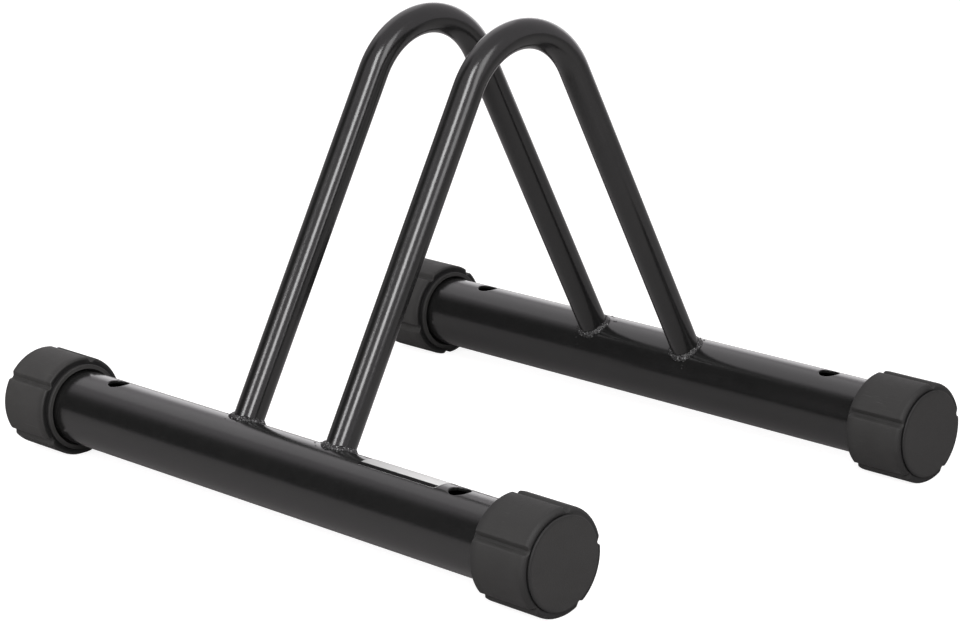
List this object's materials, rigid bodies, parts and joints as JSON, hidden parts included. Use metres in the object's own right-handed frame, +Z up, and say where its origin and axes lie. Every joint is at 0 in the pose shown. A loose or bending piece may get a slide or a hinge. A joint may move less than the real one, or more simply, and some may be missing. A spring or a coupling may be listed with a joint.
{
  "type": "floor bike rack",
  "caption": "Free-standing floor rack that holds a bicycle wheel between bent steel hoops welded across base tubes with rubber end caps.",
  "frame": {"origin": "on the floor, midway between the base tubes and between their ends", "axes": "+X along the base tubes, +Z up, and the front base tube at -Y; a bicycle rolls in along Y"},
  "size_m": [0.495, 0.4166, 0.3063],
  "materials": {
    "frame_paint": "semi-gloss black powder coat",
    "weld_paint": "rippled weld bead under thin black paint",
    "cap_rubber": "matte dark grey moulded rubber",
    "label_sticker": "blank satin sticker"
  },
  "bodies": {
    "rack_frame": {"front_base_tube": "frame_paint", "rear_base_tube": "frame_paint", "left_hoop": "frame_paint", "right_hoop": "frame_paint", "weld_front_left": "weld_paint", "weld_front_right": "weld_paint", "weld_rear_left": "weld_paint", "weld_rear_right": "weld_paint", "blank_label": "label_sticker"},
    "cap_front_left": {"end_cap_front_left": "cap_rubber"},
    "cap_front_right": {"end_cap_front_right": "cap_rubber"},
    "cap_rear_left": {"end_cap_rear_left": "cap_rubber"},
    "cap_rear_right": {"end_cap_rear_right": "cap_rubber"}
  },
  "joints": [
    {"name": "pull_off_front_left", "type": "slide", "parent": "rack_frame", "child": "cap_front_left", "axis": [-1, 0, 0], "range_m": [0, 0.05]},
    {"name": "pull_off_front_right", "type": "slide", "parent": "rack_frame", "child": "cap_front_right", "axis": [1, 0, 0], "range_m": [0, 0.05]},
    {"name": "pull_off_rear_left", "type": "slide", "parent": "rack_frame", "child": "cap_rear_left", "axis": [-1, 0, 0], "range_m": [0, 0.05]},
    {"name": "pull_off_rear_right", "type": "slide", "parent": "rack_frame", "child": "cap_rear_right", "axis": [1, 0, 0], "range_m": [0, 0.05]}
  ]
}
